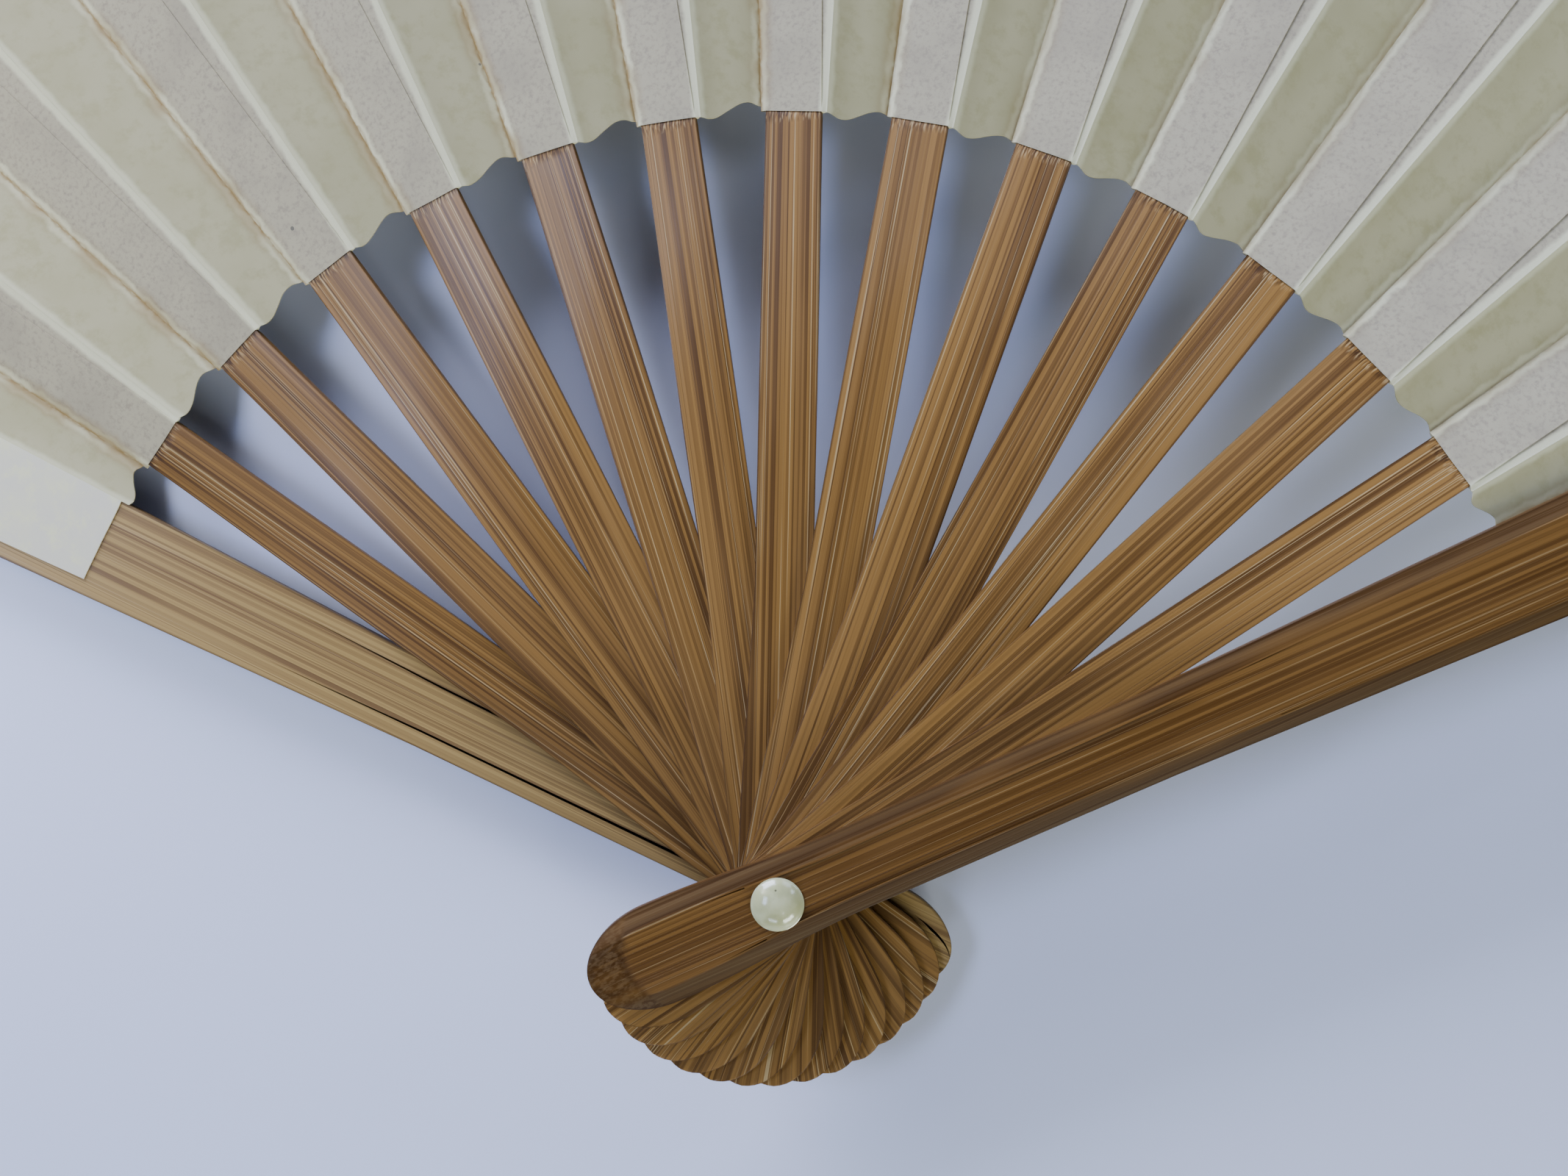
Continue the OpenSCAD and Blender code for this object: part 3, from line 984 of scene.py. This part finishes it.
class FAN_OT_rivet(bpy.types.Operator):
    """Makes the rivet: a stud with its back head, and the front head"""
    bl_idname = "fan.rivet"
    bl_label = "Rivet"

    def execute(self, context):
        s = context.scene.fan_sizes
        low, high = (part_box("rivet_cap")[i].z for i in (0, 1))
        seat = low + SOCKET_DEPTH
        dome = [(r, low + z) for r, z in dome_profile(s.rivet_head, high - low, 0)]
        cap = lathe([(0, seat), (SHANK_R, seat), (SHANK_R, low)] + dome, "front_rivet_head",
                    "moulded_cream_plastic")
        back = [(r, GUARD_LOW - z) for r, z in dome_profile(HEAD_R, GUARD_LOW, BACK_HEAD_FLAT)]
        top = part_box("rivet_stud")[1].z
        stud = lathe([(0, top), (SHANK_R, top), (SHANK_R, GUARD_LOW)] + back[:-1]
                     + [(BACK_HEAD_FLAT, 0), (0, 0)], "rivet_shank_and_back_head",
                     "moulded_cream_plastic")
        for piece, node in ((cap, "rivet_cap"), (stud, "rivet_stud")):
            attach(piece, body_name(0))
            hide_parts(node)
        return {"FINISHED"}


def area_light(name, place, aim, width, height, power, tint):
    light = bpy.data.lights.new(name, "AREA")
    light.shape = "RECTANGLE"
    light.size, light.size_y = width, height
    light.energy = power
    light.color = linear(tint)[:3]
    lamp = bpy.data.objects.new(name, light)
    lamp.location = place
    lamp.rotation_euler = (Vector(aim) - Vector(place)).to_track_quat("-Z", "Y").to_euler()
    bpy.context.scene.collection.objects.link(lamp)


class FAN_OT_stage(bpy.types.Operator):
    """Makes the floor, the studio light and the camera"""
    bl_idname = "fan.stage"
    bl_label = "Stage"

    def execute(self, context):
        bm = bmesh.new()
        bmesh.ops.create_grid(bm, x_segments=1, y_segments=1, size=3.0)
        bmesh.ops.translate(bm, verts=bm.verts[:], vec=(0, 0, -FLOOR_GAP))
        floor = to_piece(bm, "floor", "lacquered_white_board")
        aim = (0, 0.06, 0)
        area_light("far_window", (-0.6, 1.1, 0.33), aim, 0.9, 0.4, 43, "#D3DCFF")
        area_light("far_right_window", (0.6, 1.1, 0.33), aim, 0.6, 0.3, 4, "#C9D6FF")
        area_light("sky_left", (-0.8, 0.1, 0.8), aim, 0.5, 0.3, 8.5, "#B9CCFF")
        area_light("near_window", (0.6, -0.9, 0.35), aim, 0.6, 0.3, 14, "#F4FAF2")
        area_light("left_lamp", (-0.2, 0.13, 0.12), aim, 0.06, 0.06, 0.12, "#F6F4F0")
        area_light("right_lamp", (0.22, 0.15, 0.12), aim, 0.06, 0.06, 0.13, "#CFE0FF")
        area_light("near_lamp", (-0.1, -0.45, 0.22), aim, 0.2, 0.1, 0.8, "#D8E4FF")
        area_light("dome_lamp", (0.22, -0.36, 0.5), aim, 0.04, 0.06, 0.15, "#F2F4FF")
        area_light("gloss_lamp", (-0.42, 0.44, 0.96), aim, 0.03, 0.03, 0.12, "#F2F4FF")
        world = bpy.data.worlds.new("studio")
        world.use_nodes = True
        world.node_tree.nodes["Background"].inputs["Color"].default_value = linear("#DDE3F0")
        world.node_tree.nodes["Background"].inputs["Strength"].default_value = 0.01
        context.scene.world = world
        camera = bpy.data.cameras.new("camera")
        camera.sensor_width = 36
        camera.lens = 29.14
        camera.clip_start = 0.01
        rig = bpy.data.objects.new("camera", camera)
        rig.location = (0, 0.0453, 0.202)
        rig.rotation_euler = Euler((0, 0, math.radians(1.2)))
        context.scene.collection.objects.link(rig)
        context.scene.camera = rig
        return {"FINISHED"}


class FAN_PT_panel(bpy.types.Panel):
    """Lists the fan's pieces, its sizes and its colours"""
    bl_idname = "FAN_PT_panel"
    bl_label = "Folding Fan"
    bl_space_type = "VIEW_3D"
    bl_region_type = "UI"
    bl_category = "Fan"

    def draw(self, context):
        for operator in OPERATORS:
            self.layout.operator(operator.bl_idname)
        for group in (context.scene.fan_sizes, context.scene.fan_colours):
            for name in group.bl_rna.properties.keys():
                if name not in ("rna_type", "name"):
                    self.layout.prop(group, name)


OPERATORS = (FAN_OT_stage, FAN_OT_guards, FAN_OT_sticks, FAN_OT_pockets, FAN_OT_pleats,
             FAN_OT_end_panels, FAN_OT_rivet)
CLASSES = (FanSizes, FanColours) + OPERATORS + (FAN_PT_panel,)


def register():
    for each in CLASSES:
        bpy.utils.register_class(each)
    bpy.types.Scene.fan_sizes = bpy.props.PointerProperty(type=FanSizes)
    bpy.types.Scene.fan_colours = bpy.props.PointerProperty(type=FanColours)


def unregister():
    del bpy.types.Scene.fan_colours
    del bpy.types.Scene.fan_sizes
    for each in reversed(CLASSES):
        bpy.utils.unregister_class(each)


def main():
    register()
    bpy.ops.fan.stage()
    bpy.ops.fan.guards()
    bpy.ops.fan.sticks()
    bpy.ops.fan.pockets()
    bpy.ops.fan.pleats()
    bpy.ops.fan.end_panels()
    bpy.ops.fan.rivet()
    bpy.context.view_layer.update()


if __name__ == "__main__":
    main()
